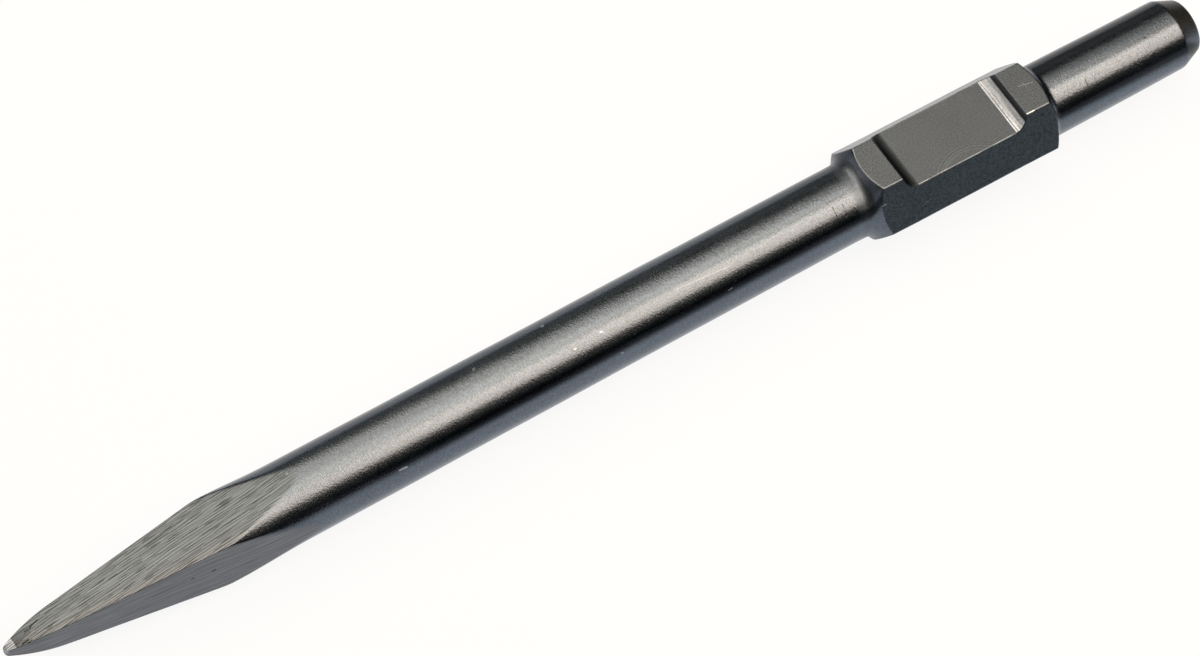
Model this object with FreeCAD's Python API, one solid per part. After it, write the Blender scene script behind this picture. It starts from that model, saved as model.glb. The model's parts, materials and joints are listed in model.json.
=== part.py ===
"""Pointed chisel with a hexagonal shank, lying as it comes to rest, notch upwards.

Millimetres. The chisel is built along X from its tip at x = 0 to its struck end,
with the notched face of the hexagon towards +Z. It is then laid down: it rests on the
front edge of its lowest hexagon face and on the belly of its body, on the plane z = 0,
with the origin under the middle of its bounding box.
"""
import FreeCAD
import Part
import math
import os

# Driving dimensions

overall_length = 410.0

# Hexagon that sits in the tool holder.
hex_across_flats = 28.6
hex_edge_radius = 0.5
hex_length = 60.0            # from corner end to corner end
struck_length = 59.0         # from the hexagon's rear corner ends to the struck face

# Round body between the point and the hexagon, slightly tapered.
body_front_diameter = 24.5
body_rear_diameter = 23.9

# Domed ends of the hexagon. Each dome is part of a sphere, whose centre lies this far
# along the axis from the corner ends; a hollow radius leads from it to the round part.
flare_dome_offset = 18.0
flare_radius = 4.3
shoulder_dome_offset = 23.5
shoulder_radius = 3.0

# Struck end.
struck_root_diameter = 23.6
struck_rim_diameter = 22.8
struck_face_diameter = 17.4
struck_chamfer_length = 6.8
struck_rim_radius = 3.0
struck_face_radius = 1.2

# Retainer notch, milled across the upper hexagon face.
notch_length = 44.8
notch_depth = 3.8
notch_end_radius = 4.8
notch_front_land = 6.9       # from the front corner ends to the notch

# Four-sided point.
flat_length = 94.0           # from the tip to where a flat runs out on the body
flat_angle = 5.73            # of each flat to the axis
nose_length = 17.0           # over which the flats curve in to the tip
tip_radius = 1.3
point_turn = 6.5             # of the square against the hexagon, from +Z towards +Y

# Swell that forging leaves around the root of the point.
swell_diameter = 27.0
swell_station = 58.0
swell_length = 36.0

# Worked out from the values above

hex_apothem = hex_across_flats / 2
hex_corner = hex_apothem / math.cos(math.radians(30))
hex_rear = overall_length - struck_length
hex_front = hex_rear - hex_length
chamfer_station = overall_length - struck_chamfer_length
swell_end = swell_station + swell_length
hex_cut_margin = 1.5         # the turned blank stands this far outside the hexagon


def vec(x, y=0.0, z=0.0):
    return FreeCAD.Vector(x, y, z)


def body_radius(x):
    """Radius of the tapered body at a station, from the swell's end to the hexagon."""
    share = (x - swell_end) / (hex_front - swell_end)
    return (body_front_diameter + (body_rear_diameter - body_front_diameter) * share) / 2


def flat_height(x):
    """Distance of a flat from the axis at a station behind the nose."""
    return body_radius(flat_length) - (flat_length - x) * math.tan(math.radians(flat_angle))


def line(a, b):
    return Part.makeLine(a, b)


def arc_about(centre, start, end):
    """Shorter arc from start to end, round a centre at the same distance from both."""
    middle = ((start - centre) + (end - centre)).normalize()
    return Part.Arc(start, centre + middle * (start - centre).Length, end).toShape()


def blend(before, corner, after, radius):
    """Arc that rounds a corner of the profile, with the points where it starts and ends."""
    back = (before - corner).normalize()
    ahead = (after - corner).normalize()
    half = back.getAngle(ahead) / 2
    reach = radius / math.tan(half)
    start = corner + back * reach
    end = corner + ahead * reach
    middle_way = (back + ahead).normalize()
    centre = corner + middle_way * (radius / math.sin(half))
    middle = centre - middle_way * radius
    return start, Part.Arc(start, middle, end).toShape(), end


def chain(points, radii):
    """Open polyline through the points, each corner that has a radius rounded with it."""
    edges = []
    here = points[0]
    for i in range(1, len(points)):
        if i in radii:
            start, arc, end = blend(points[i - 1], points[i], points[i + 1], radii[i])
            edges += [line(here, start), arc]
            here = end
        else:
            edges.append(line(here, points[i]))
            here = points[i]
    return edges


def domed_end(corner_station, inward, offset, hollow, root):
    """Profile of one end of the hexagon, from the round part of radius root outwards.

    Inward is +1 where the hexagon lies towards +X and -1 where it lies towards -X.
    """
    centre = vec(corner_station + inward * offset)
    dome = math.hypot(offset, hex_corner)
    outside = hex_corner + hex_cut_margin
    hollow_x = math.sqrt((dome + hollow) ** 2 - (root + hollow) ** 2)
    hollow_centre = vec(centre.x - inward * hollow_x, root + hollow)
    foot = vec(hollow_centre.x, root)
    touch = centre + (hollow_centre - centre).normalize() * dome
    top = vec(centre.x - inward * math.sqrt(dome ** 2 - outside ** 2), outside)
    return foot, [arc_about(hollow_centre, foot, touch), arc_about(centre, touch, top)], top


def swell_edges():
    """Profile from the axis at the tip, out and along the swell to the straight body."""
    peak = swell_diameter / 2
    root = body_radius(swell_end)
    middle = swell_station + swell_length / 2
    curve = Part.BezierCurve()
    curve.setPoles([vec(swell_station, peak), vec(middle, peak),
                    vec(middle, body_radius(middle)), vec(swell_end, root)])
    return [line(vec(0), vec(0, peak)), line(vec(0, peak), vec(swell_station, peak)),
            curve.toShape()]


def turned_blank():
    """Round blank: swell, body, the band that becomes the hexagon, and the struck end."""
    flare_foot, flare, flare_top = domed_end(
        hex_front, 1, flare_dome_offset, flare_radius, body_rear_diameter / 2)
    shoulder_foot, shoulder, shoulder_top = domed_end(
        hex_rear, -1, shoulder_dome_offset, shoulder_radius, struck_root_diameter / 2)
    body = line(vec(swell_end, body_radius(swell_end)), flare_foot)
    band = line(flare_top, shoulder_top)
    struck = chain([shoulder_foot,
                    vec(chamfer_station, struck_rim_diameter / 2),
                    vec(overall_length, struck_face_diameter / 2),
                    vec(overall_length)],
                   {1: struck_rim_radius, 2: struck_face_radius})
    edges = (swell_edges() + [body] + flare + [band] + shoulder[::-1] + struck
             + [line(vec(overall_length), vec(0))])
    face = Part.Face(Part.Wire(Part.sortEdges(edges)[0]))
    return face.revolve(vec(0), vec(1), 360)


def hexagon_prism():
    """Hexagon with slightly rounded edges, one face up, longer than the chisel."""
    corners = [vec(-1.0, hex_corner * math.cos(math.radians(60 * i)),
                   hex_corner * math.sin(math.radians(60 * i))) for i in range(6)]
    edges = []
    joints = [blend(corners[i - 1], corners[i], corners[(i + 1) % 6], hex_edge_radius)
              for i in range(6)]
    for i in range(6):
        edges.append(joints[i][1])
        edges.append(line(joints[i][2], joints[(i + 1) % 6][0]))
    return Part.Face(Part.Wire(edges)).extrude(vec(overall_length + 2.0))


def nose_radius():
    """Radius of the arc that is tangent to a flat and to the tip's small rounding."""
    angle = math.radians(flat_angle)
    run = nose_length - tip_radius
    height = flat_height(nose_length)
    return (run ** 2 + height ** 2 - tip_radius ** 2) / (
        2 * (height * math.cos(angle) - run * math.sin(angle) - tip_radius))


def point_side():
    """Side view of the point: two flats that curve together into a small round tip."""
    radius = nose_radius()
    angle = math.radians(flat_angle)
    height = flat_height(nose_length)
    centre = vec(nose_length + radius * math.sin(angle), height - radius * math.cos(angle))
    tip_centre = vec(tip_radius)
    outward = (tip_centre - centre).normalize()
    touch = centre + outward * radius
    nose_start = vec(nose_length, height)
    halfway = ((nose_start - centre) + (touch - centre)).normalize()
    nose_middle = centre + halfway * radius
    far = vec(overall_length + 1.0, flat_height(overall_length + 1.0))

    def mirrored(p):
        return vec(p.x, -p.y)

    upper = [line(far, nose_start), Part.Arc(nose_start, nose_middle, touch).toShape()]
    lower = [Part.Arc(mirrored(touch), mirrored(nose_middle), mirrored(nose_start)).toShape(),
             line(mirrored(nose_start), mirrored(far))]
    tip = Part.Arc(touch, vec(0), mirrored(touch)).toShape()
    return Part.Wire(upper + [tip] + lower + [line(mirrored(far), far)])


def point_wedges():
    """Two crossed wedges whose common space is the square, tapering point."""
    reach = flat_height(overall_length + 1.0) + 1.0
    flat = Part.Face(point_side())
    flat.translate(vec(0, 0, -reach))
    wedge = flat.extrude(vec(0, 0, 2 * reach))
    wedge.rotate(vec(0), vec(1), -point_turn)
    turned = wedge.copy()
    turned.rotate(vec(0), vec(1), 90)
    return wedge, turned


def notch_cutter():
    """Straight-floored slot with round ends, cut from above across the upper face."""
    front = hex_front + notch_front_land
    rear = front + notch_length
    floor = hex_apothem - notch_depth
    above = hex_apothem + notch_end_radius
    sweep = math.acos(1 - min(notch_depth / notch_end_radius, 1.0))
    run = notch_end_radius * math.sin(sweep)
    half = sweep / 2
    half_run = notch_end_radius * (math.sin(sweep) - math.sin(half))
    half_rise = notch_end_radius * (1 - math.cos(half))

    def at(x, z):
        return vec(x, -hex_across_flats, z)

    edges = [
        line(at(front, above), at(front, hex_apothem)),
        Part.Arc(at(front, hex_apothem), at(front + half_run, floor + half_rise),
                 at(front + run, floor)).toShape(),
        line(at(front + run, floor), at(rear - run, floor)),
        Part.Arc(at(rear - run, floor), at(rear - half_run, floor + half_rise),
                 at(rear, hex_apothem)).toShape(),
        line(at(rear, hex_apothem), at(rear, above)),
        line(at(rear, above), at(front, above)),
    ]
    return Part.Face(Part.Wire(edges)).extrude(vec(0, 2 * hex_across_flats, 0))


def chisel():
    """The whole chisel along X, tip at the origin."""
    wedge, crossed = point_wedges()
    solid = turned_blank().common(hexagon_prism())
    solid = solid.common(wedge).common(crossed)
    solid = solid.cut(notch_cutter()).removeSplitter()
    return solid.Solids[0]


def lay_down(solid):
    """Turns the chisel onto its two resting places and centres it over the origin."""
    rise = hex_apothem - body_radius(flat_length)
    dome = math.hypot(flare_dome_offset, hex_corner)
    hex_face_front = hex_front + flare_dome_offset - math.sqrt(dome ** 2 - hex_apothem ** 2)
    tilt = math.degrees(math.atan2(rise, hex_face_front - flat_length))
    solid.rotate(vec(0), vec(0, 1, 0), -tilt)
    box = solid.optimalBoundingBox(False)
    solid.translate(vec(-(box.XMin + box.XMax) / 2, -(box.YMin + box.YMax) / 2, -box.ZMin))
    return solid


def main():
    os.makedirs("parts", exist_ok=True)
    lay_down(chisel()).exportStep("parts/pointed_chisel.step")


main()
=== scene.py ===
"""Pointed chisel with a hexagonal shank, lying on a pale floor under soft studio light."""

import json
import math
from collections import namedtuple

import bpy
from bpy.props import FloatProperty, FloatVectorProperty, IntProperty, PointerProperty
from mathutils import Matrix, Vector


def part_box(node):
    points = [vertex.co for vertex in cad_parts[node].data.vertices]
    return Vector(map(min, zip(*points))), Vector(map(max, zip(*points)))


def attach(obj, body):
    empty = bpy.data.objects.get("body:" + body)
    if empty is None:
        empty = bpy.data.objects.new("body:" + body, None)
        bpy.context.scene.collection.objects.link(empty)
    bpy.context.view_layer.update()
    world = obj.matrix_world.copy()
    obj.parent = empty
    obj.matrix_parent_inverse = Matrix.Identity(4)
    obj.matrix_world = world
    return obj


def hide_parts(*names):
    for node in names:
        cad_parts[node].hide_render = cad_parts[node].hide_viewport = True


bl_info = {
    "name": "Pointed chisel",
    "version": (1, 0, 0),
    "blender": (4, 5, 0),
    "location": "3D View > Sidebar > Chisel",
    "description": "Makes a forged pointed chisel with a hexagonal shank, and its studio",
    "category": "Add Mesh",
}

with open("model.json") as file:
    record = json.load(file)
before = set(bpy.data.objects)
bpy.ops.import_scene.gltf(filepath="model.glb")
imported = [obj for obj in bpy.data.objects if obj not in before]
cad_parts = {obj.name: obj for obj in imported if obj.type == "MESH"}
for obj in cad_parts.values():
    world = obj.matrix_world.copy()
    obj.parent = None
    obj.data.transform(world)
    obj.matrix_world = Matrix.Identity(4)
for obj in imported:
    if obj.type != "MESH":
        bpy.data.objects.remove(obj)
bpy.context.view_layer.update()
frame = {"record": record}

# Place of the chisel in the row frame: its axis runs from the tip to the struck face.
CHISEL = "pointed_chisel"
STRUCK_FACE = next(m for m in frame["record"]["mounts"] if m["name"] == "struck_face")
LOW_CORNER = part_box(CHISEL)[0]
AXIS = Vector(STRUCK_FACE["axis"]).normalized()
LENGTH = (STRUCK_FACE["pos_m"][0] - LOW_CORNER[0]) / AXIS.x
TIP = Vector(STRUCK_FACE["pos_m"]) - AXIS * LENGTH
TILT = math.atan2(AXIS.z, AXIS.x)

MM = 0.001
FAR = 1.0  # metres; a face at this distance cuts nothing

# Sideways run-out that forging left: millimetres from the tip, millimetres towards +Y.
RUN_OUT = ((0, -0.20), (20, -0.42), (75, -0.48), (120, -0.36), (165, -0.14), (220, 0.12),
           (280, 0.32), (304, 0.02), (330, -0.14), (362, -0.44), (388, -0.56), (410, -0.55))

# Marks on the steel, in millimetres from the tip along the chisel's own directions:
# where each starts and ends, its width, and how much of it shows.
BRIGHT_MARKS = (
    ((346.2, 1.2, 14.3), (351.0, 0.3, 14.3), 0.20, 0.30),      # crossed scratches, rear land
    ((348.1, 1.9, 14.3), (348.35, -0.3, 14.3), 0.16, 0.22),
    ((302.1, -14.2, 4.0), (304.5, -13.95, 4.45), 0.20, 0.16),  # near side of the shank
    ((288.8, -11.0, 9.5), (290.7, -10.9, 9.7), 0.26, 0.45),    # nick before the shank
    ((342.9, -8.2, 14.2), (345.4, -8.25, 14.2), 0.45, 1.0),    # painted glint on the edge behind the notch
    ((92.4, 2.3, 12.1), (92.9, 2.6, 11.9), 0.34, 0.45),        # end of the upper ground flat
    ((180.8, 6.2, 10.4), (181.2, 6.3, 10.35), 0.80, 0.75),      # body
    ((155.9, 3.8, 11.5), (156.2, 4.1, 11.4), 0.70, 0.75),
    ((122.3, -10.5, 6.2), (124.6, -10.6, 6.0), 0.55, 0.5),
    ((194.1, -4.5, 11.2), (194.5, -4.6, 11.1), 0.45, 0.5),
    ((184.6, -5.2, 10.9), (185.2, -5.3, 10.8), 0.34, 0.35),
    ((197.6, -10.9, 5.2), (198.3, -10.9, 5.1), 0.30, 0.4),
    ((203.0, -8.8, 8.3), (203.6, -8.8, 8.2), 0.34, 0.4),
    ((208.7, -7.6, 9.4), (209.6, -7.6, 9.3), 0.30, 0.4),
    ((235.6, -10.2, 6.6), (236.9, -10.0, 6.8), 0.26, 0.6),
    ((238.0, -9.1, 7.9), (238.7, -9.0, 8.0), 0.26, 0.5),
    ((241.0, -9.0, 8.1), (241.8, -8.8, 8.2), 0.26, 0.4),
    ((220.5, -4.0, 11.3), (239.0, -5.3, 10.8), 0.22, 0.10),
    ((391.1, 3.2, 11.2), (395.7, 1.9, 11.3), 0.16, 0.7),       # struck end
)
DARK_MARKS = (
    ((275.75, -4.4, 11.1), (275.75, -7.3, 9.5), 0.30, 0.8),    # hairlines before the shank
    ((278.9, -4.9, 10.9), (278.9, -7.9, 9.0), 0.26, 0.8),
    ((367.1, -5.2, 10.5), (367.1, -7.4, 9.0), 0.26, 0.7),      # hairlines behind it
    ((370.1, -6.0, 10.0), (370.1, -8.2, 8.2), 0.22, 0.6),
    ((391.2, -2.5, 11.3), (391.5, -2.6, 11.3), 0.50, 0.8),     # pit in the struck end
    ((61.9, -8.82, 2.25), (62.5, -8.88, 2.25), 0.70, 0.9),     # pits in the near ground flat
    ((55.5, -8.14, 2.6), (56.0, -8.19, 2.6), 0.60, 0.8),
    ((5.2, -1.63, 2.66), (7.1, -1.50, 3.13), 0.42, 1.0),       # deep strokes near the tip
    ((6.6, -2.40, 3.10), (7.9, -2.20, 3.38), 0.36, 0.8),
    ((7.4, 1.23, 2.88), (9.4, 1.43, 3.30), 0.36, 0.9),
    ((9.3, 1.66, 3.24), (12.0, 2.45, 3.64), 0.36, 0.9),
)
MARK_FULL, MARK_GONE = 0.35, 0.75  # shares of a mark's width, away from its middle line

# Arcs on the notch floor, in millimetres: their common centre, and the band they fill
ARCS_CENTRE = (319.7, -19.9)
ARCS_INNER, ARCS_OUTER = 11.8, 14.3

# What some places add to the steel's roughness, and the share of its shade that others take
ROUGHER = {"ramp": 0.22, "chamfer": 0.12, "flare": 0.16, "tip_end": 0.30, "far_side_shade": -0.13,
           "far_face": -0.16, "cloud": 0.08, "grain": 0.10}
# Of these, the darkening of the notch's ends and of the round part's two sides is painted
# shade; the strokes and dark marks are real.
DARKER = {"deep_strokes": 0.45, "dark": 0.8, "steep_shade": 0.85, "front_steep_shade": 0.60,
          "front_ramp_shade": 0.3, "far_side_shade": 1.0, "near_side_shade": 1.0}
RELIEF_HEIGHT = 0.035 * MM

# Rings and columns of the chisel's grid
TIP_RINGS = 9
CLOSE_RINGS = 62 * MM  # station behind which they follow the flats' curved ends
ARC_STEPS = 10
CHAMFER_STEP, FACE_STEP = 0.45 * MM, 0.8 * MM
COLUMN_STEP = 3.0  # degrees, as are the next three
OFF_EDGE = (-1.5, -0.9, -0.55, -0.25, 0.0, 0.25, 0.55, 0.9, 1.5)
OFF_RIDGE = (-4.2, -2.1, -1.2, -0.5, 0.0, 0.5, 1.2, 2.1, 4.2)
OFF_BRINK = (-1.2, -0.6, -0.2, 0.0, 0.2, 0.6, 1.2)

# Shapes that only help to make others
HALVINGS = 40      # these find a place on the swell's curve exactly
NOTCH_CLIMB = 3.0  # of the notch's floor beyond its ends, so that it cuts nothing there
DOME_LIMIT = 1.3   # of the corners' radius, beyond which a dome bounds nothing

# Softboxes: name, degrees over the chisel's axis from the near horizon, lean along the
# axis, distance and size in metres, roll in radians, and colour
SOFTBOXES = (
    ("main", 64.2, 0.458, 1.6, (1.12, 1.00), -0.22, (1.0, 0.79, 0.59)),
    ("ceiling", 115.4, 0.0, 1.7, (1.19, 2.12), 0.38, (1.0, 0.86, 0.67)),
    ("middle", 83.8, 0.299, 1.7, (1.15, 1.07), 0.37, (1.0, 0.86, 0.67)),
    ("far", 163.0, 0.1, 1.7, (2.4, 0.75), 0.0, (1.0, 0.94, 0.80)),
    ("end", 111.0, 0.613, 1.7, (0.30, 0.95), 0.30, (1.0, 0.90, 0.74)),
    ("point", 133.5, -1.60, 1.7, (0.90, 0.70), 0.0, (1.0, 0.92, 0.80)),
)
WORLD_COLOUR, WORLD_STRENGTH = (0.40, 0.80, 1.0, 1.0), 0.018
WHITE = (1.0, 1.0, 1.0, 1.0)
FLOOR_REACH = 20.0

# The camera: where it stands, and the directions to its right and ahead of it
EYE = (-0.42698, -0.51250, 1.14573)
RIGHT = Vector((0.8385, -0.5410, 0.0658))
AHEAD = Vector((0.3204, 0.3917, -0.8625))
SENSOR_WIDTH = 36.0
CLIP = (0.01, 100.0)


def length(label, description, millimetres):
    """A size in metres, given here in millimetres."""
    return FloatProperty(name=label, description=description, default=millimetres * MM,
                         min=0.0, subtype="DISTANCE", unit="LENGTH")


def angular(label, description, degrees):
    return FloatProperty(name=label, description=description, default=math.radians(degrees),
                         subtype="ANGLE", unit="ROTATION")


def colour(label, description, rgb):
    return FloatVectorProperty(name=label, description=description, default=rgb, size=3,
                               min=0.0, max=1.0, subtype="COLOR")


def portion(label, description, value):
    """A number from 0 to 1."""
    return FloatProperty(name=label, description=description, default=value, min=0.0,
                         max=1.0, subtype="FACTOR")


def brightness(label, description, value):
    return FloatProperty(name=label, description=description, default=value, min=0.0)


class ChiselSizes(bpy.types.PropertyGroup):
    overall_length: length("Overall length", "From the tip to the struck face", LENGTH / MM)
    across_flats: length("Across flats", "Width of the hexagonal shank", 28.6)
    hex_edge_radius: length("Hexagon edge radius", "Rounding of the shank's long edges", 0.5)
    hex_length: length("Hexagon length", "From corner end to corner end", 60.0)
    struck_length: length("Struck end length", "From the shank to the struck face", 59.0)
    body_front_diameter: length("Body diameter at the point", "Where the swell ends", 24.5)
    body_rear_diameter: length("Body diameter at the shank", "Where the shank begins", 23.9)
    flare_dome_offset: length("Front dome offset", "Its centre, behind the corners", 18.0)
    flare_radius: length("Front hollow radius", "Hollow before the shank", 4.3)
    shoulder_dome_offset: length("Rear dome offset", "Its centre, before the corners", 23.5)
    shoulder_radius: length("Rear hollow radius", "Hollow behind the shank", 3.0)
    struck_root_diameter: length("Struck end diameter", "Behind the shank", 23.6)
    struck_rim_diameter: length("Struck rim diameter", "Where the end's chamfer begins", 22.8)
    struck_face_diameter: length("Struck face diameter", "Across the flat end face", 17.4)
    chamfer_length: length("Chamfer length", "Length of the struck end's chamfer", 6.8)
    rim_radius: length("Rim radius", "Rounding where the chamfer begins", 3.0)
    face_radius: length("Face radius", "Rounding round the struck face", 1.2)
    notch_length: length("Notch length", "Along the shank, at the surface", 44.8)
    notch_depth: length("Notch depth", "Below the upper hexagon face", 3.8)
    notch_end_radius: length("Notch end radius", "Of the cutter's run-out", 4.8)
    notch_front_land: length("Front land", "From the front corners to the notch", 6.9)
    flat_length: length("Flat length", "From the tip to a ground flat's end", 94.0)
    flat_angle: angular("Flat angle", "Of each ground flat to the axis", 5.73)
    nose_length: length("Nose length", "Over which the flats curve in", 17.0)
    tip_radius: length("Tip radius", "Rounding of the very tip", 1.3)
    point_turn: angular("Point turn", "Of the point's square against the hexagon", 6.5)
    point_edge_radius: length("Point edge radius", "Rounding of the point's ridges", 0.16)
    swell_diameter: length("Swell diameter", "Of the swell at the point's root", 27.0)
    swell_station: length("Swell station", "Where the swell begins to fall away", 58.0)
    swell_length: length("Swell length", "Over which the swell falls away", 36.0)
    meeting_edge: length("Meeting edge", "Softness where two surfaces meet", 0.22)
    unevenness: length("Unevenness", "Height of the forging's slow waves", 0.02)
    seed: IntProperty(name="Seed", description="Of the forging's unevenness", default=7)


class SteelFinish(bpy.types.PropertyGroup):
    scale: colour("Forged steel", "Dark grey steel of the round body", (0.113, 0.133, 0.164))
    ground: colour("Ground steel", "Fresh steel of the ground flats", (0.102, 0.118, 0.139))
    milled: colour("Shank steel", "Steel of the hexagon's faces", (0.098, 0.112, 0.134))
    # Painted shade: the hexagon's near leaning faces and the notch's sheer front wall get this
    # darker steel in place of their shade.
    side: colour("Shank side", "Blue-black steel of its near sides", (0.052, 0.065, 0.078))
    burnt: colour("Chamfer steel", "Brownish steel at the struck end", (0.085, 0.080, 0.076))
    # Also the colour of the painted highlights along the shank's edges, of the glint behind the
    # notch and at the very tip.
    bright: colour("Bare steel", "Bright steel of nicks and scratches", (0.54, 0.60, 0.66))
    # Only the rear ramp gets it: partly the bare steel that the cutter left, partly a painted
    # highlight.
    cut: colour("Cut steel", "Pale steel where the notch's cutter left it", (0.60, 0.65, 0.75))
    # Painted light: a lighter steel on the near ground flat and its ridge, which stands in for
    # the pale floor they reflect.
    near_painted_light: colour("Warm steel", "Near ground flat and its ridge", (0.130, 0.136, 0.150))
    tip: colour("Tip", "Pale blunted tip", (0.42, 0.46, 0.56))
    roughness: portion("Body roughness", "Of the round body", 0.25)
    ground_roughness: portion("Ground roughness", "Of the ground flats", 0.32)
    milled_roughness: portion("Shank roughness", "Of the hexagon", 0.42)


class Studio(bpy.types.PropertyGroup):
    floor_colour: colour("Floor", "Pale studio floor", (0.88, 0.88, 0.88))
    floor_white: portion("Floor white", "Share of the floor that shows as plain white", 0.9)
    lens: FloatProperty(name="Lens", description="Focal length", default=135.0,
                        subtype="DISTANCE_CAMERA", unit="CAMERA")
    main_strength: brightness("Main softbox", "Of the main softbox", 5.2)
    ceiling_strength: brightness("Ceiling softbox", "Of the wide softbox overhead", 3.1)
    middle_strength: brightness("Middle softbox", "Of the softbox between them", 1.35)
    far_strength: brightness("Far softbox", "Of the dim softbox at the far side", 0.2)
    end_strength: brightness("End softbox", "Of the softbox over the struck end", 1.0)
    point_strength: brightness("Point softbox", "Of the low softbox beyond the point", 1.5)


class Wire:
    """One output of a node. Arithmetic on it adds Math nodes."""

    def __init__(self, tree, node, output=0):
        self.tree = tree
        self.node = node
        self.socket = node.outputs[output]

    def output(self, name):
        return Wire(self.tree, self.node, name)

    def math(self, operation, *others):
        return self.tree.math(operation, self, *others)

    def __add__(self, other):
        return self.math("ADD", other)

    __radd__ = __add__

    def __mul__(self, other):
        return self.math("MULTIPLY", other)

    __rmul__ = __mul__

    def __sub__(self, other):
        return self.math("SUBTRACT", other)

    def __rsub__(self, other):
        return self.tree.math("SUBTRACT", other, self)

    def __truediv__(self, other):
        return self.math("DIVIDE", other)

    def __rtruediv__(self, other):
        return self.tree.math("DIVIDE", other, self)

    def __neg__(self):
        return self.math("MULTIPLY", -1.0)

    def __abs__(self):
        return self.math("ABSOLUTE")

    def __gt__(self, other):
        return self.math("GREATER_THAN", other)

    def __lt__(self, other):
        return self.math("LESS_THAN", other)


class Tree:
    """Adds nodes to a shader or geometry node tree."""

    def __init__(self, node_tree):
        self.node_tree = node_tree

    def add(self, kind, settings=None, values=None, output=0):
        """A node of this kind, with its settings made before its sockets are filled."""
        node = self.node_tree.nodes.new(kind)
        for name, value in (settings or {}).items():
            setattr(node, name, value)
        for key, value in (values or {}).items():
            if isinstance(value, Wire):
                self.node_tree.links.new(value.socket, node.inputs[key])
            else:
                node.inputs[key].default_value = value
        return Wire(self, node, output) if node.outputs else node

    def math(self, operation, *terms):
        return self.add("ShaderNodeMath", {"operation": operation}, dict(enumerate(terms)))

    def most(self, *terms):
        return self.math("MAXIMUM", *terms)

    def vector(self, x, y, z):
        return self.add("ShaderNodeCombineXYZ", None, {"X": x, "Y": y, "Z": z})

    def smooth_step(self, value, low, high):
        """0 below low, 1 above high."""
        return self.add("ShaderNodeMapRange", {"interpolation_type": "SMOOTHSTEP"},
                        {"Value": value, "From Min": low, "From Max": high})

    def rise(self, value, low, high, start=0.0):
        """0 below low, 1 above high, both in millimetres from start."""
        return self.smooth_step(value, start + low * MM, start + high * MM)

    def fall(self, value, low, high, start=0.0):
        """1 below low, 0 above high, both in millimetres from start."""
        return 1.0 - self.rise(value, low, high, start)

    def between(self, value, low, high, soft):
        """1 from low to high, with soft ends."""
        return (self.smooth_step(value, low - soft, low + soft)
                * (1.0 - self.smooth_step(value, high - soft, high + soft)))

    def mix(self, factor, a, b):
        """A colour between two others."""
        def rgba(v):
            return v if isinstance(v, Wire) else (*v, 1.0)
        return self.add("ShaderNodeMix", {"data_type": "RGBA"},
                        {0: factor, 6: rgba(a), 7: rgba(b)}, 2)

    def blend(self, factor, a, b):
        """A value between two others."""
        return self.add("ShaderNodeMix", {"data_type": "FLOAT"}, {0: factor, 2: a, 3: b})

    def noise(self, vector, scale, detail=2.0, rough=0.5, seed=None):
        values = {"Vector": vector, "Scale": scale, "Detail": detail, "Roughness": rough}
        if seed is None:
            return self.add("ShaderNodeTexNoise", None, values)
        return self.add("ShaderNodeTexNoise", {"noise_dimensions": "4D"}, {**values, "W": seed})


# Outline of the chisel, worked out from the sizes

Dome = namedtuple("Dome", "centre radius foot touch hollow root")


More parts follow.
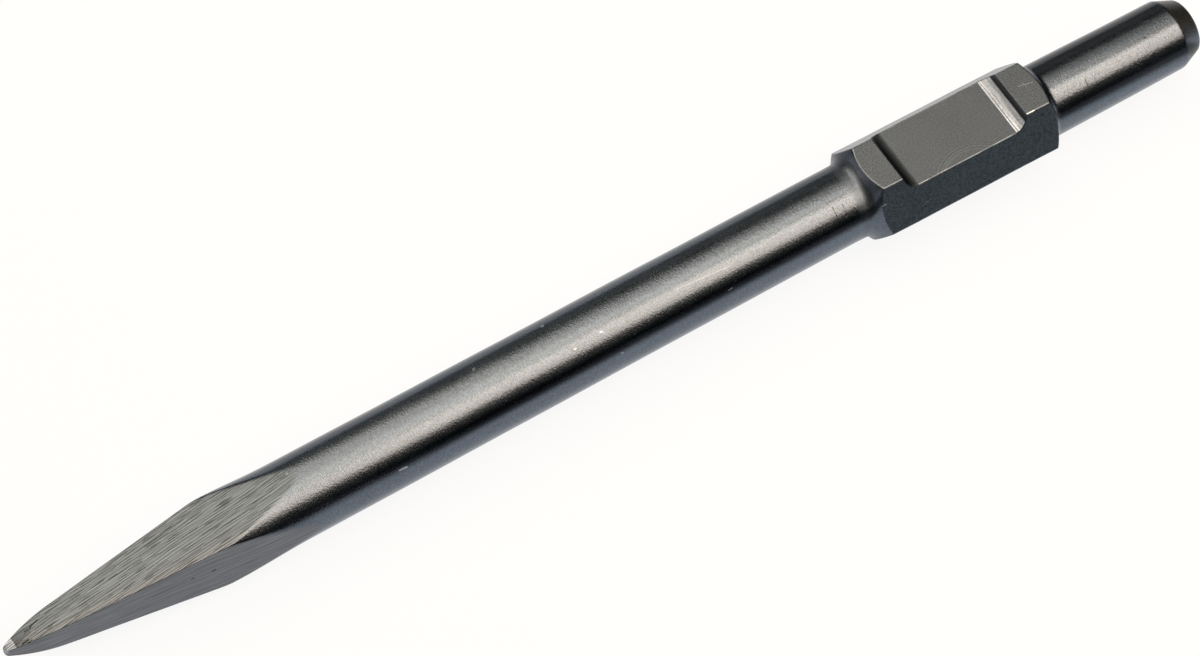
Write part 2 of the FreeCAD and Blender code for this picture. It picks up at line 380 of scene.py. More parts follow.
class Outline:
    """The surfaces that bound the chisel, as distances from its axis at a station."""

    def __init__(self, s):
        self.s = s
        self.apothem = s.across_flats / 2
        self.corner = self.apothem / math.cos(math.pi / 6)
        self.hex_rear = s.overall_length - s.struck_length
        self.hex_front = self.hex_rear - s.hex_length
        self.swell_end = s.swell_station + s.swell_length
        self.notch_front = self.hex_front + s.notch_front_land
        self.notch_rear = self.notch_front + s.notch_length
        self.notch_floor = self.apothem - s.notch_depth
        self.floor_half_width = (2 * self.apothem - self.notch_floor) / math.sqrt(3)
        sweep = math.acos(1 - s.notch_depth / s.notch_end_radius)
        self.notch_run = s.notch_end_radius * math.sin(sweep)
        self.front_dome = self.dome(self.hex_front, 1, s.flare_dome_offset, s.flare_radius,
                                    s.body_rear_diameter / 2)
        self.rear_dome = self.dome(self.hex_rear, -1, s.shoulder_dome_offset,
                                   s.shoulder_radius, s.struck_root_diameter / 2)
        self.nose = self.nose_arc()

    def dome(self, corner_station, inward, offset, hollow, root):
        """Centre and radius of a dome, and the hollow that leads from the round part to it."""
        centre = corner_station + inward * offset
        radius = math.hypot(offset, self.corner)
        foot = centre - inward * math.sqrt((radius + hollow) ** 2 - (root + hollow) ** 2)
        touch = foot + (centre - foot) * hollow / (radius + hollow)
        return Dome(centre, radius, foot, touch, hollow, root)

    def body_radius(self, x):
        s = self.s
        share = (x - self.swell_end) / (self.hex_front - self.swell_end)
        return (s.body_front_diameter
                + (s.body_rear_diameter - s.body_front_diameter) * share) / 2

    def swell_radius(self, x):
        """Curve from the swell down to the body, with level ends."""
        s = self.s
        low, high = 0.0, 1.0
        for _ in range(HALVINGS):
            t = (low + high) / 2
            run = 1.5 * t * (1 - t) + t ** 3
            low, high = (t, high) if run * s.swell_length < x - s.swell_station else (low, t)
        middle = self.body_radius(s.swell_station + s.swell_length / 2)
        u = 1 - t
        return (s.swell_diameter / 2 * (u ** 3 + 3 * u * u * t)
                + 3 * u * t * t * middle + t ** 3 * self.body_radius(self.swell_end))

    def turned(self, x):
        """Radius of the turned blank, from the tip to the struck end's rim."""
        s = self.s
        if x < s.swell_station:
            return s.swell_diameter / 2
        if x < self.swell_end:
            return self.swell_radius(x)
        if x < self.front_dome.foot:
            return self.body_radius(x)
        if x < (self.hex_front + self.hex_rear) / 2:
            return min(domed(x, self.front_dome), DOME_LIMIT * self.corner)
        if x < self.rear_dome.foot:
            return min(domed(x, self.rear_dome), DOME_LIMIT * self.corner)
        share = (x - self.rear_dome.foot) / (
            s.overall_length - s.chamfer_length - self.rear_dome.foot)
        return (s.struck_root_diameter
                + (s.struck_rim_diameter - s.struck_root_diameter) * share) / 2

    def flat(self, x):
        """Distance of a ground flat from the axis, nose and tip included."""
        s = self.s
        centre_x, centre_r, radius, touch = self.nose
        if x < touch:
            return math.sqrt(max(s.tip_radius ** 2 - (x - s.tip_radius) ** 2, 0.0))
        if x < s.nose_length:
            return centre_r + math.sqrt(radius ** 2 - (x - centre_x) ** 2)
        return self.straight_flat(x)

    def straight_flat(self, x):
        s = self.s
        return self.body_radius(s.flat_length) - (s.flat_length - x) * math.tan(s.flat_angle)

    def nose_arc(self):
        """Centre and radius of the arc tangent to a flat and to the tip, and where it ends."""
        s = self.s
        run = s.nose_length - s.tip_radius
        height = self.straight_flat(s.nose_length)
        radius = (run ** 2 + height ** 2 - s.tip_radius ** 2) / (
            2 * (height * math.cos(s.flat_angle) - run * math.sin(s.flat_angle)
                 - s.tip_radius))
        centre_x = s.nose_length + radius * math.sin(s.flat_angle)
        centre_r = height - radius * math.cos(s.flat_angle)
        away = math.hypot(centre_x - s.tip_radius, centre_r)
        touch = s.tip_radius - (centre_x - s.tip_radius) / away * s.tip_radius
        return centre_x, centre_r, radius, touch

    def notch(self, x):
        """Height of the notch's floor; beyond its ends it climbs away from the upper face."""
        s = self.s
        inside = min(x - self.notch_front, self.notch_rear - x)
        if inside < 0:
            return min(self.apothem - NOTCH_CLIMB * inside, FAR)
        rise = max(self.notch_run - inside, 0.0)
        return (self.notch_floor + s.notch_end_radius
                - math.sqrt(s.notch_end_radius ** 2 - rise ** 2))

    def struck_end(self):
        """Points of the turned profile from the rim's rounding to the middle of the face."""
        s = self.s
        root = Vector((self.rear_dome.foot, s.struck_root_diameter / 2))
        rim = Vector((s.overall_length - s.chamfer_length, s.struck_rim_diameter / 2))
        face = Vector((s.overall_length, s.struck_face_diameter / 2))
        middle = Vector((s.overall_length, 0.0))
        points = rounded(root, rim, face, s.rim_radius)
        last = rounded(rim, face, middle, s.face_radius)
        points += spread(points[-1], last[0], CHAMFER_STEP)[1:-1] + last
        return points + spread(last[-1], middle, FACE_STEP)[1:]


def domed(x, dome):
    """Radius at a station of a dome, or of the hollow that leads to it."""
    centre, radius, foot, touch, hollow, root = dome
    if (x - touch) * (centre - foot) < 0:
        return root + hollow - math.sqrt(max(hollow ** 2 - (x - foot) ** 2, 0.0))
    return math.sqrt(max(radius ** 2 - (x - centre) ** 2, 0.0))


def rounded(before, corner, after, radius):
    """Points along the arc that rounds a corner of a profile."""
    back, ahead = (before - corner).normalized(), (after - corner).normalized()
    half = back.angle(ahead) / 2
    centre = corner + (back + ahead).normalized() * (radius / math.sin(half))
    start = corner + back * (radius / math.tan(half)) - centre
    end = corner + ahead * (radius / math.tan(half)) - centre
    return [centre + start.slerp(end, i / ARC_STEPS) * radius for i in range(ARC_STEPS + 1)]


def spread(a, b, step):
    """Points from a to b, no further apart than step."""
    count = max(1, math.ceil((b - a).length / step))
    return [a.lerp(b, i / count) for i in range(count + 1)]


# The chisel

FIELDS = ("station", "angle", "turned", "flat", "floor", "run_out")


def stations(outline):
    """Stations of the rings, close together where the surface turns."""
    s, front, rear = outline.s, outline.front_dome, outline.rear_dome
    stretches = (  # where each one ends, and the step between its rings in millimetres
        (s.nose_length, 0.45), (CLOSE_RINGS, 0.9), (s.flat_length + 1.0 * MM, 0.42),
        (s.flat_length + 4.0 * MM, 0.8), (front.foot - 1.5 * MM, 2.6), (front.touch, 0.35),
        (outline.hex_front + 1.0 * MM, 0.28), (outline.notch_front - 0.5 * MM, 1.1),
        (outline.notch_front + 5.0 * MM, 0.26), (outline.notch_rear - 5.0 * MM, 1.7),
        (outline.notch_rear + 0.5 * MM, 0.26), (outline.hex_rear - 1.0 * MM, 1.1),
        (rear.touch, 0.28), (rear.foot + 1.5 * MM, 0.35),
        (outline.struck_end()[0].x - 0.5 * MM, 2.4),
    )
    found = [s.tip_radius * (1 - math.cos(math.pi / 2 * i / TIP_RINGS))
             for i in range(1, TIP_RINGS + 1)]
    for end, step in stretches:
        start = found[-1]
        count = max(1, math.ceil((end - start) / (step * MM)))
        found += [start + (end - start) * i / count for i in range(1, count + 1)]
    return found


def column_angles(outline):
    """Angles round the axis from the notched face, close together at the edges."""
    turn = math.degrees(outline.s.point_turn)
    brink = math.degrees(math.atan2(outline.floor_half_width, outline.notch_floor))
    crowded = [(30 + 60 * i, OFF_EDGE) for i in range(6)]
    crowded += [(45 + turn + 90 * i, OFF_RIDGE) for i in range(4)]
    crowded += [(brink, OFF_BRINK), (360 - brink, OFF_BRINK)]
    found = {COLUMN_STEP * i for i in range(round(360 / COLUMN_STEP))}
    for middle, offsets in crowded:
        found.update(round((middle + off) % 360, 3) for off in offsets)
    return [math.radians(degrees) for degrees in sorted(found)]


def run_out(x):
    """How far the axis has strayed sideways at a station."""
    for (a, low), (b, high) in zip(RUN_OUT, RUN_OUT[1:]):
        if x <= b * MM:
            share = max(x / MM - a, 0.0) / (b - a)
            return (low + (high - low) * share * share * (3 - 2 * share)) * MM
    return RUN_OUT[-1][1] * MM


def ring_grid(outline):
    """Closed grid of rings along the chisel; each point knows what bounds it."""
    rings = [(x, outline.turned(x)) for x in stations(outline)]
    rings += [(p.x, p.y) for p in outline.struck_end()[:-1]]
    angles = column_angles(outline)
    across = len(angles)
    values = {name: [] for name in FIELDS}

    def point(x, turned, angle):
        values["station"].append(x)
        values["angle"].append(angle)
        values["turned"].append(turned)
        values["flat"].append(outline.flat(x))
        values["floor"].append(outline.notch(x))
        values["run_out"].append(run_out(x))

    for x, turned in rings:
        for angle in angles:
            point(x, turned, angle)
    point(0.0, 0.0, 0.0)
    point(outline.s.overall_length, 0.0, 0.0)
    front, back = len(rings) * across, len(rings) * across + 1
    faces = []
    for i in range(len(rings) - 1):
        for j in range(across):
            k = (j + 1) % across
            faces.append((i * across + j, (i + 1) * across + j,
                          (i + 1) * across + k, i * across + k))
    last = (len(rings) - 1) * across
    for j in range(across):
        k = (j + 1) % across
        faces.append((front, j, k))
        faces.append((back, last + k, last + j))
    places = [(x, math.sin(a), math.cos(a)) for x, a in zip(values["station"],
                                                             values["angle"])]
    mesh = bpy.data.meshes.new(CHISEL)
    mesh.from_pydata(places, [], faces)
    for name, numbers in values.items():
        mesh.attributes.new(name, "FLOAT", "POINT").data.foreach_set("value", numbers)
    return mesh


CROSS_SECTION_INPUTS = (
    ("Geometry", "Geometry"), ("Hexagon apothem", "Float"), ("Hexagon edge radius", "Float"),
    ("Point edge radius", "Float"), ("Point turn", "Float"), ("Meeting edge", "Float"),
    ("Unevenness", "Float"), ("Seed", "Float"), ("Tip", "Vector"), ("Turn", "Vector"),
    ("Material", "Material"),
)


def cross_section_tree():
    """Geometry nodes that pull each ring in to the nearest of the surfaces that bound it."""
    group = bpy.data.node_groups.new("chisel cross section", "GeometryNodeTree")
    group.interface.new_socket("Geometry", in_out="OUTPUT",
                               socket_type="NodeSocketGeometry")
    for name, kind in CROSS_SECTION_INPUTS:
        group.interface.new_socket(name, in_out="INPUT", socket_type="NodeSocket" + kind)
    t = Tree(group)
    given = t.add("NodeGroupInput")

    def attribute(name):
        return t.add("GeometryNodeInputNamedAttribute", {"data_type": "FLOAT"},
                     {"Name": name}, "Attribute")

    angle, station = attribute("angle"), attribute("station")
    sine, cosine = angle.math("SINE"), angle.math("COSINE")

    def polygon(height, sides, edge, turn=0.0):
        """Regular section with this many sides, its corners rounded."""
        half = math.pi / sides
        from_face = t.math("PINGPONG", angle - turn, half)
        plain = height / from_face.math("COSINE")
        rounding = t.math("MINIMUM", edge, height * 0.35)  # the tip is too small for more
        centre = (height - rounding) / math.cos(half)
        from_corner = half - from_face
        side = centre * from_corner.math("SINE")
        reach = t.most(rounding * rounding - side * side, 0.0).math("SQRT")
        corner = centre * from_corner.math("COSINE") + reach
        limit = half - (centre * math.sin(half) / height).math("ARCTANGENT")
        return plain + (from_corner < limit) * (corner - plain)

    # Wear rounds the long edges more in some places than in others.
    unit_ring = t.vector(station * 330.0, sine * 4.0, cosine * 4.0)
    wear = 0.35 + 1.3 * t.noise(unit_ring, 1.0, 3.0, 0.6, given.output("Seed"))
    hexagon = polygon(given.output("Hexagon apothem"), 6,
                      given.output("Hexagon edge radius") * wear)
    point = polygon(attribute("flat"), 4, given.output("Point edge radius") * wear,
                    given.output("Point turn"))
    up = t.most(cosine, 0.02)  # the notch is open upwards only
    soft = given.output("Meeting edge")
    radius = t.math("SMOOTH_MIN", attribute("turned"), hexagon, soft)
    radius = t.math("SMOOTH_MIN", radius, point, soft * 3.2)
    radius = t.math("SMOOTH_MIN", radius, attribute("floor") / up, soft * 0.6)
    # The forging's slow waves fade out towards the axis, so the tip and the face stay true.
    even = t.vector(station, sine * radius, cosine * radius)
    waves = (t.noise(even, 42.0, 2.0, 0.5, given.output("Seed")) - 0.5) * 2.0
    radius = radius - abs(waves * given.output("Unevenness")) * t.rise(radius, 0.5, 4.0)
    place = t.vector(station, sine * radius, cosine * radius)
    kept = t.add("GeometryNodeStoreNamedAttribute",
                 {"data_type": "FLOAT_VECTOR", "domain": "POINT"},
                 {"Geometry": given.output("Geometry"), "Name": "place", "Value": place})
    strayed = t.vector(station, sine * radius + attribute("run_out"), cosine * radius)
    moved = t.add("GeometryNodeSetPosition", None, {"Geometry": kept, "Position": strayed})
    placed = t.add("GeometryNodeTransform", None,
                   {"Geometry": moved, "Translation": given.output("Tip"),
                    "Rotation": given.output("Turn")})
    smooth = t.add("GeometryNodeSetShadeSmooth", None, {"Geometry": placed})
    real = t.add("GeometryNodeRealizeInstances", None, {"Geometry": smooth})
    coated = t.add("GeometryNodeSetMaterial", None,
                   {"Geometry": real, "Material": given.output("Material")})
    t.add("NodeGroupOutput", None, {"Geometry": coated})
    return group


def run_nodes(thing, group, inputs):
    """Runs a node tree on an object and keeps its result as a plain mesh."""
    modifier = thing.modifiers.new("shape", "NODES")
    modifier.node_group = group
    by_name = {item.name: item.identifier for item in group.interface.items_tree
               if item.in_out == "INPUT"}
    for name, value in inputs.items():
        modifier[by_name[name]] = value
    bpy.context.view_layer.update()
    evaluated = thing.evaluated_get(bpy.context.evaluated_depsgraph_get())
    made = bpy.data.meshes.new_from_object(evaluated)
    thing.modifiers.clear()
    old = thing.data
    thing.data = made
    made.name = old.name
    bpy.data.meshes.remove(old)
    return made


# Steel

def near_line(t, place, start, end, width):
    """1 close to the line between two places, 0 away from it."""
    start, run = Vector(start) * MM, (Vector(end) - Vector(start)) * MM
    from_start = t.add("ShaderNodeVectorMath", {"operation": "SUBTRACT"},
                       {0: place, 1: start})
    share = t.add("ShaderNodeVectorMath", {"operation": "DOT_PRODUCT"},
                  {0: from_start, 1: run / run.length_squared}, "Value")
    share = t.math("MINIMUM", t.math("MAXIMUM", share, 0.0), 1.0)
    nearest = t.add("ShaderNodeVectorMath", {"operation": "SCALE"}, {0: run, "Scale": share})
    away = t.add("ShaderNodeVectorMath", {"operation": "DISTANCE"},
                 {0: from_start, 1: nearest}, "Value")
    return 1.0 - t.smooth_step(away, width * MARK_FULL * MM, width * MARK_GONE * MM)


def marks(t, place, table):
    """The strongest of the marks in a table, at each place."""
    shown = 0.0
    for start, end, width, strength in table:
        shown = t.most(near_line(t, place, start, end, width) * strength, shown)
    return shown


class Steel:
    """Forged steel: where each surface lies, its fine marks, its wear, its painted light and
    shade, and its colours.
    """

    def __init__(self, outline, finish):
        self.outline, self.sizes, self.finish = outline, outline.s, finish
        self.material = bpy.data.materials.new("forged steel")
        self.material.use_nodes = True
        self.material.node_tree.nodes.clear()
        self.t = t = Tree(self.material.node_tree)
        self.place = t.add("ShaderNodeAttribute", {"attribute_name": "place"}, None, "Vector")
        split = t.add("ShaderNodeSeparateXYZ", None, {"Vector": self.place})
        self.x, self.y, self.z = (split.output(axis) for axis in "XYZ")
        self.find_point()
        self.find_shank()
        self.find_notch()
        self.find_round_part()
        self.grind()
        self.mill()
        self.roughen()
        self.wear()
        self.make_shader()

    def find_point(self):
        """The point's square, its four ground flats and the ridge towards the near side."""
        t, s, x = self.t, self.sizes, self.x
        turn_cos, turn_sin = math.cos(s.point_turn), math.sin(s.point_turn)
        self.square_y = self.y * turn_cos - self.z * turn_sin
        self.square_z = self.z * turn_cos + self.y * turn_sin
        side, height = abs(self.square_y), abs(self.square_z)
        flat = x * math.tan(s.flat_angle) + self.outline.straight_flat(0.0)
        on_flat = t.rise(t.most(side, height) - flat, -0.30, -0.04)
        in_nose = x < s.nose_length * 1.05
        self.ground = t.most(on_flat, in_nose) * (x < s.flat_length + 3.0 * MM)
        self.upper = height > side
        self.across = t.blend(self.upper, self.square_z, self.square_y)
        near = self.square_y < 0.0
        # The near flat and the ridge beside it get painted light: a lighter steel.
        self.near_flat = self.ground * (1.0 - self.upper) * near
        self.near_ridge = t.fall(height - side, 0.3, 5.5) * self.upper * near * self.ground

    def find_shank(self):
        """The hexagon's faces, by how far from the axis the nearest of them is."""
        t, z, outline = self.t, self.z, self.outline
        self.leaning = abs(self.y) * math.sin(math.pi / 3) + abs(z) * math.cos(math.pi / 3)
        self.from_axis = t.most(abs(z), self.leaning)
        in_shank = t.between(self.x, outline.front_dome.touch - 1.0 * MM,
                             outline.rear_dome.touch + 1.0 * MM, 0.2 * MM)
        self.faces = t.rise(self.from_axis, -0.10, -0.05, outline.apothem) * in_shank

    def find_notch(self):
        """The notch, the ramps at its ends, and the leaning faces beside it."""
        t, x, z, outline = self.t, self.x, self.z, self.outline
        apothem, front, rear = outline.apothem, outline.notch_front, outline.notch_rear
        front_foot, rear_foot = front + outline.notch_run, rear - outline.notch_run
        self.along_notch = t.between(x, front, rear, 0.05 * MM)
        sunk = t.fall(self.from_axis, -0.16, -0.10, apothem)
        self.notch = self.along_notch * (z > outline.notch_floor - 0.3 * MM) * sunk
        self.shank = t.most(self.faces, self.notch)
        leaning_faces = self.faces * (self.leaning > z) * (1.0 - self.notch)
        # Painted shade: the leaning faces on the near side get a darker steel; those on the far
        # side keep the shank steel.
        self.sides = leaning_faces * (self.y < 0.0)
        self.far_face = leaning_faces * (self.y > 0.0)
        # Painted shade: the front ramp and its sheer wall, and the sheer top of the rear ramp,
        # are darkened.
        self.front_ramp_shade = self.notch * (x < front_foot)
        self.front_steep_shade = self.notch * t.fall(x, 2.0, 2.7, front)
        # The rear ramp is pale: partly the cutter's bare steel, partly a painted highlight.
        self.ramp = self.notch * (x > rear_foot + 0.25 * MM)
        self.steep_shade = self.notch * (x > rear_foot + 3.75 * MM)
        self.foot_line = self.ramp * t.between(x, rear_foot + 0.75 * MM,
                                               rear_foot + 0.95 * MM, 0.08 * MM)
        # Painted highlight along the lower edge of the notch's floor.
        at_floor = t.between(z, outline.notch_floor - 0.20 * MM,
                             outline.notch_floor + 0.10 * MM, 0.06 * MM)
        self.floor_edge_highlight = (t.between(x, front_foot, rear_foot, 0.1 * MM) * at_floor
                           * t.rise(self.from_axis, -0.30, -0.10, apothem))

    def find_round_part(self):
        """The turned body and struck end, and the painted shade along their two sides: dark
        bands that stand in for dark reflections.
        """
        t, x, y, outline = self.t, self.x, self.y, self.outline
        self.round_part = (1.0 - self.ground) * (1.0 - self.shank)
        rim = self.sizes.overall_length - self.sizes.chamfer_length
        self.chamfer = t.rise(x, -0.6, 0.4, rim)
        self.flare = t.between(x, outline.front_dome.foot - 2.0 * MM,
                               outline.hex_front + 3.0 * MM, 1.5 * MM) * self.round_part
        # Painted shade: the far side is darkened, more so towards the struck end, where its
        # reflection is dim.
        rearwards = t.rise(x, 200.0, 370.0)
        self.far_side_shade = (t.rise(y + rearwards * 1.5 * MM, 4.5, 8.7) * self.round_part
                         * (0.45 + 0.33 * rearwards))
        # Painted shade: a dark band along the near side that stands in for the dark reflection
        # there, stronger behind the point.
        self.near_side_shade = (t.rise(-y, 8.2, 9.4) * t.fall(-y, 10.2, 11.3) * (self.z > 0.0)
                          * self.round_part * (0.25 + 0.55 * t.rise(x, 95.0, 150.0)))

    def grind(self):
        """Strokes on the point's flats: two sets that cross, slow bands and deep strokes."""
        t, x, upper = self.t, self.x, self.upper
        canted = self.across - x * 0.07 * upper
        crossing = self.across - x * 0.02 * upper
        packed = 0.45 + 0.55 * upper

        def hatching(over, along, pitch):
            """Close parallel scratches, each one short and a little astray."""
            astray = t.noise(t.vector(x * 45.0, over * 420.0, upper * 7.0 + along), 1.0, 1.0)
            lines = (over * packed * (2 * math.pi / (pitch * MM)) + astray * 14.0).math("SINE")
            broken = t.noise(t.vector(x * along, over * packed * 1900.0, along), 1.0, 0.0)
            return lines * t.smooth_step(broken, 0.28, 0.62)

        self.strokes = (hatching(canted, 120.0, 0.84) * 0.55
                        + hatching(crossing, 170.0, 0.66) * 0.35)
        self.bands = t.noise(t.vector(x * 60.0, canted * 500.0, upper * 3.0), 1.0) - 0.5
        deep = t.noise(t.vector(x * 170.0, canted * 2600.0, upper * 5.0), 1.0, 0.0)
        depth = 0.66 - 0.05 * t.rise(self.square_y, 0.0, 6.0) - 0.05 * (x < 26.0 * MM)
        self.deep_strokes = t.smooth_step(deep - depth, 0.0, 0.04) * self.ground * upper

    def mill(self):
        """What the cutter left: lines on the notch's ramp and arcs on its floor."""
        t, x, y = self.t, self.x, self.y
        self.ramp_lines = t.noise(t.vector(x * 1700.0, y * 45.0, 0.0), 1.0, 3.0, 0.75) - 0.5
        from_x, from_y = x - ARCS_CENTRE[0] * MM, y - ARCS_CENTRE[1] * MM
        swirl = (from_x * from_x + from_y * from_y).math("SQRT")
        band = t.between(swirl, ARCS_INNER * MM, ARCS_OUTER * MM, 0.4 * MM) * self.notch
        self.arcs = band * (t.noise(t.vector(swirl * 1700.0, x * 12.0, 0.0), 1.0, 0.0) - 0.5)

    def roughen(self):
        """The skin's fine marks; all but the bright specks are centred on zero."""
        t, place = self.t, self.place

        def stretched(along, across):
            grid = t.vector(self.x * along, self.y * across, self.z * across)
            return t.noise(grid, 1.0, 1.0, 0.6) - 0.5

        self.hoops = stretched(2400.0, 800.0)
        self.grain = stretched(2100.0, 1700.0)
        self.speckle = t.noise(place, 2100.0, 3.0, 0.7) - 0.5
        self.patches = t.noise(place, 800.0, 3.0, 0.65) - 0.5
        self.cloud = t.noise(place, 85.0, 4.0, 0.6) - 0.5
        dots = t.noise(place, 1300.0, 1.0, 0.5, 3.0)
        self.specks = t.smooth_step(dots, 0.80, 0.84) * self.round_part

    def wear(self):
        """Painted highlights along the edges, the blunted tip with a painted highlight at its
        very end, scratches and pits.
        """
        t, x, place, outline = self.t, self.x, self.place, self.outline
        radius = (self.y * self.y + self.z * self.z).math("SQRT")

        def dome_edge_highlight(dome, outward):
            """Painted highlight where a dome meets the hexagon's faces."""
            run = x - dome.centre
            from_centre = (run * run + radius * radius).math("SQRT")
            return outward * t.fall(dome.radius - from_centre, 0.14, 0.34)

        # Painted highlights along the hexagon's long edges, where its domes meet its lands, and
        # along the notch floor's edge, shown in patches.
        long_edge_highlight = t.rise(radius, -0.20, -0.10, outline.corner)
        lands = self.faces * (self.leaning < self.z) * (1.0 - self.along_notch)
        dome_edge_highlights = lands * t.most(
            dome_edge_highlight(outline.front_dome, x < outline.front_dome.centre),
            dome_edge_highlight(outline.rear_dome, x > outline.rear_dome.centre))
        edges = t.most(long_edge_highlight * 0.20, t.most(dome_edge_highlights * 0.28, self.floor_edge_highlight * 0.42))
        highlight_patches = t.smooth_step(t.noise(place, 260.0, 3.0, 0.6), 0.36, 0.60)
        bright = t.most(edges * (0.35 + 0.65 * highlight_patches), marks(t, place, BRIGHT_MARKS))
        self.bright = t.most(bright, self.specks * 0.8)
        self.dark = marks(t, place, DARK_MARKS)
        # The upper side of the very tip: worn bare steel, lightened further as a painted
        # highlight; it is also rougher.
        self.tip_end = t.fall(x, 0.5, 1.3) * t.rise(self.square_z, 0.0, 0.5)
        self.blunted = (t.fall(x + self.patches * 2.0 * MM, 3.1, 3.4) * self.upper
                        * (self.square_z > 0.0))

    def roughness(self):
        """Roughness of each kind of steel, with what single places add to it."""
        finish = self.finish
        rough = (finish.roughness
                 + self.ground * (finish.ground_roughness - finish.roughness)
                 + self.shank * (finish.milled_roughness - finish.roughness))
        for name, share in ROUGHER.items():
            rough = rough + getattr(self, name) * share
        return rough

    def shade(self):
        """How pale or dark the fine marks make the steel, 1 where they leave it alone."""
        return (1.0 + self.cloud * 0.25
                + self.round_part * (self.grain * 0.9 + self.hoops * 0.4)
                + self.ground * (0.45 + 0.55 * self.upper)
                * (self.strokes * 0.74 + self.bands * 0.06)
                + self.shank * self.speckle * (2.4 - self.notch)
                + self.sides * self.patches * 1.2 + self.arcs * 1.6
                + self.ramp * (self.ramp_lines * 3.0 - self.foot_line * 0.7))

    def colour(self):
        """Each surface's steel, shaded by its marks and bright where it is bare, with painted
        light and shade on some surfaces.
        """
        t, finish = self.t, self.finish
        base = t.mix(self.ground, finish.scale, finish.ground)
        for share, steel in (
                # painted light on the near ground flat and its ridge
                (t.most(self.near_ridge * 0.5, self.near_flat), finish.near_painted_light),
                (self.shank, finish.milled),
                # painted shade on the hexagon's near sides
                (self.sides, finish.side),
                (self.chamfer * t.rise(self.y, -9.0, -1.0), finish.burnt),
                (self.blunted * 0.9, finish.tip),
                # painted highlight on the very tip, over its worn steel
                (self.tip_end * 0.6, finish.bright),
                # rear ramp: partly the cutter's bare steel, partly a painted highlight
                (self.ramp * 0.75, finish.cut),
                # painted shade on the notch's sheer front wall
                (self.front_steep_shade * 0.8, finish.side)):
            base = t.mix(share, base, steel)
        # Real strokes and marks, and painted shade in the notch and along the round part,
        # darken the steel.
        left = 1.0
        for name, share in DARKER.items():
            left = left * (1.0 - getattr(self, name) * share)
        base = t.add("ShaderNodeVectorMath", {"operation": "SCALE"},
                     {"Vector": base, "Scale": self.shade() * left})
        # Bare steel of scratches, nicks and specks, and the painted highlights along the edges.
        return t.mix(self.bright, base, finish.bright)

    def relief(self):
        """Height of the fine marks, as a share of RELIEF_HEIGHT."""
        return (self.round_part * (self.grain * 1.15 + self.hoops * 0.4)
                + self.ground * (0.4 + 0.6 * self.upper) * self.strokes * 0.25
                - self.deep_strokes * 0.5 + self.shank * self.speckle + self.arcs * 1.6
                + self.ramp * self.ramp_lines * 1.2 - self.dark * 0.6)

    def make_shader(self):
        t = self.t
        bump = t.add("ShaderNodeBump", None, {
            "Height": self.relief(), "Distance": RELIEF_HEIGHT, "Strength": 1.0}, "Normal")
        shader = t.add("ShaderNodeBsdfPrincipled", None, {
            "Base Color": self.colour(), "Metallic": 1.0, "Roughness": self.roughness(),
            "Normal": bump})
        t.add("ShaderNodeOutputMaterial", None, {"Surface": shader})


class CHISEL_OT_forge(bpy.types.Operator):
    """Makes the chisel: one forging with a ground point, hexagonal shank and notch"""
    bl_idname = "chisel.forge"
    bl_label = "Forge the chisel"

    def execute(self, context):
        sizes, finish = context.scene.chisel_sizes, context.scene.chisel_finish
        outline = Outline(sizes)
        material = Steel(outline, finish).material
        piece = bpy.data.objects.new("chisel", ring_grid(outline))
        context.scene.collection.objects.link(piece)
        mesh = run_nodes(piece, cross_section_tree(), {
            "Hexagon apothem": outline.apothem,
            "Hexagon edge radius": sizes.hex_edge_radius,
            "Point edge radius": sizes.point_edge_radius,
            "Point turn": sizes.point_turn,
            "Meeting edge": sizes.meeting_edge,
            "Unevenness": sizes.unevenness,
            "Seed": float(sizes.seed),
            "Tip": TIP,
            "Turn": (0.0, -TILT, 0.0),
            "Material": material,
        })
        for name in FIELDS:
            mesh.attributes.remove(mesh.attributes[name])
        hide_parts(CHISEL)
        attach(piece, "root")
        return {"FINISHED"}


# Studio

def softbox(name, degrees, lean, distance, size, roll, rgb, strength):
    """Rectangular area light that faces the chisel's middle."""
    light = bpy.data.lights.new(name, "AREA")
    light.shape = "RECTANGLE"
    light.size, light.size_y = size
    light.energy = strength * math.pi * size[0] * size[1]
    light.color = rgb
    angle = math.radians(degrees)
    back = Vector((lean, -math.cos(angle), math.sin(angle))).normalized()
    across = (Vector((1, 0, 0)) - back * back.x).normalized()
    facing = Matrix((across, back.cross(across), back)).transposed()
    lamp = bpy.data.objects.new(name, light)
    lamp.matrix_world = (Matrix.Translation(back * distance)
                         @ (facing @ Matrix.Rotation(roll, 3, "Z")).to_4x4())
    lamp.visible_camera = False
    bpy.context.scene.collection.objects.link(lamp)


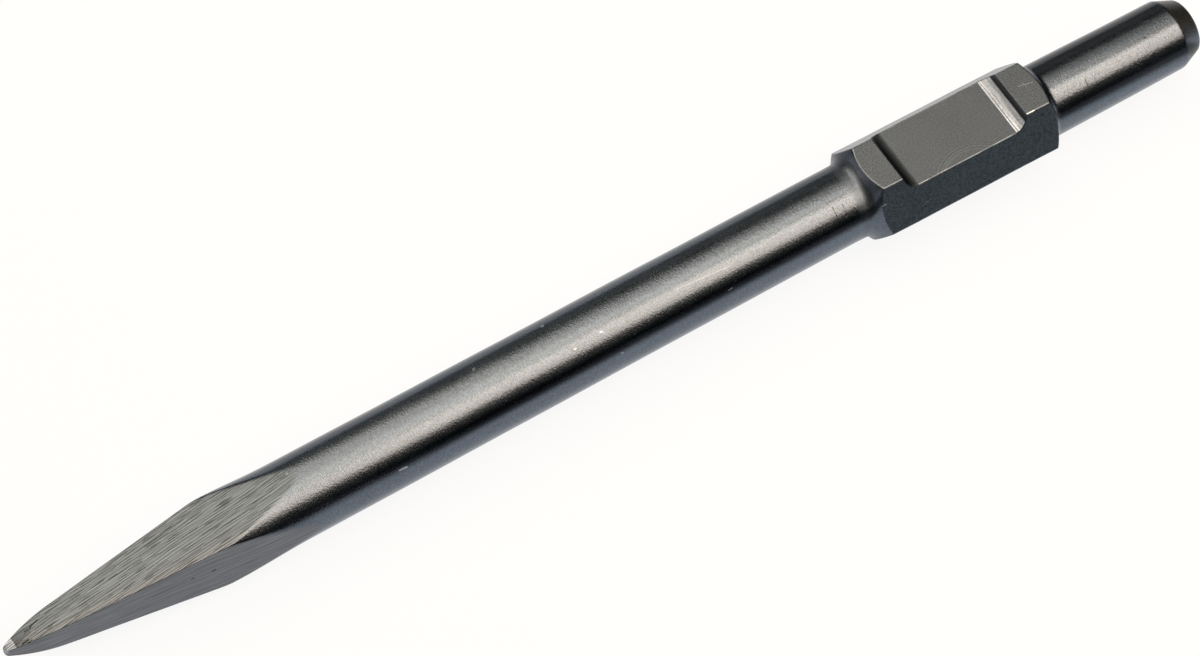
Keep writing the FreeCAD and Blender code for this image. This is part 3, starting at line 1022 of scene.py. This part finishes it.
class CHISEL_OT_studio(bpy.types.Operator):
    """Makes the floor, the softboxes, the world and the camera"""
    bl_idname = "chisel.studio"
    bl_label = "Set the studio"

    def execute(self, context):
        studio = context.scene.chisel_studio
        self.floor(studio)
        self.lights(studio)
        self.camera(studio)
        context.scene.view_settings.view_transform = "Standard"
        return {"FINISHED"}

    def floor(self, studio):
        mesh = bpy.data.meshes.new("floor")
        mesh.from_pydata([(x * FLOOR_REACH, y * FLOOR_REACH, 0)
                          for x, y in ((-1, -1), (1, -1), (1, 1), (-1, 1))],
                         [], [(0, 1, 2, 3)])
        material = bpy.data.materials.new("pale floor")
        material.use_nodes = True
        material.node_tree.nodes.clear()
        t = Tree(material.node_tree)
        lit = t.add("ShaderNodeBsdfDiffuse", None, {"Color": (*studio.floor_colour, 1.0)})
        white = t.add("ShaderNodeEmission", None, {"Color": WHITE, "Strength": 1.0})
        rays = t.add("ShaderNodeLightPath")
        seen = t.most(rays.output("Is Camera Ray"), rays.output("Is Glossy Ray"))
        seen = t.most(seen, rays.output("Is Transmission Ray"))
        both = t.add("ShaderNodeMixShader", None,
                     {0: seen * studio.floor_white, 1: lit, 2: white})
        t.add("ShaderNodeOutputMaterial", None, {"Surface": both})
        mesh.materials.append(material)
        floor = bpy.data.objects.new("floor", mesh)
        bpy.context.scene.collection.objects.link(floor)

    def lights(self, studio):
        for name, *shape in SOFTBOXES:
            softbox(name + " softbox", *shape, getattr(studio, name + "_strength"))
        world = bpy.data.worlds.new("studio")
        world.use_nodes = True
        world.node_tree.nodes.clear()
        t = Tree(world.node_tree)
        dim = t.add("ShaderNodeBackground", None,
                    {"Color": WORLD_COLOUR, "Strength": WORLD_STRENGTH})
        t.add("ShaderNodeOutputWorld", None, {"Surface": dim})
        bpy.context.scene.world = world

    def camera(self, studio):
        camera = bpy.data.cameras.new("camera")
        camera.lens = studio.lens
        camera.sensor_width = SENSOR_WIDTH
        camera.clip_start, camera.clip_end = CLIP
        eye = bpy.data.objects.new("camera", camera)
        right = RIGHT.normalized()
        ahead = (AHEAD - right * AHEAD.dot(right)).normalized()
        turn = Matrix((right, right.cross(ahead), -ahead)).transposed()
        eye.matrix_world = Matrix.Translation(EYE) @ turn.to_4x4()
        bpy.context.scene.collection.objects.link(eye)
        bpy.context.scene.camera = eye


class CHISEL_PT_panel(bpy.types.Panel):
    """Lists the chisel's steps"""
    bl_idname = "CHISEL_PT_panel"
    bl_label = "Pointed chisel"
    bl_space_type = "VIEW_3D"
    bl_region_type = "UI"
    bl_category = "Chisel"

    def draw(self, context):
        for operator in OPERATORS:
            self.layout.operator(operator.bl_idname)


OPERATORS = (CHISEL_OT_forge, CHISEL_OT_studio)
CLASSES = (ChiselSizes, SteelFinish, Studio, *OPERATORS, CHISEL_PT_panel)


def register():
    for cls in CLASSES:
        bpy.utils.register_class(cls)
    bpy.types.Scene.chisel_sizes = PointerProperty(type=ChiselSizes)
    bpy.types.Scene.chisel_finish = PointerProperty(type=SteelFinish)
    bpy.types.Scene.chisel_studio = PointerProperty(type=Studio)


def unregister():
    del bpy.types.Scene.chisel_studio
    del bpy.types.Scene.chisel_finish
    del bpy.types.Scene.chisel_sizes
    for cls in reversed(CLASSES):
        bpy.utils.unregister_class(cls)


def main():
    register()
    bpy.ops.chisel.forge()
    bpy.ops.chisel.studio()


if __name__ == "__main__":
    main()
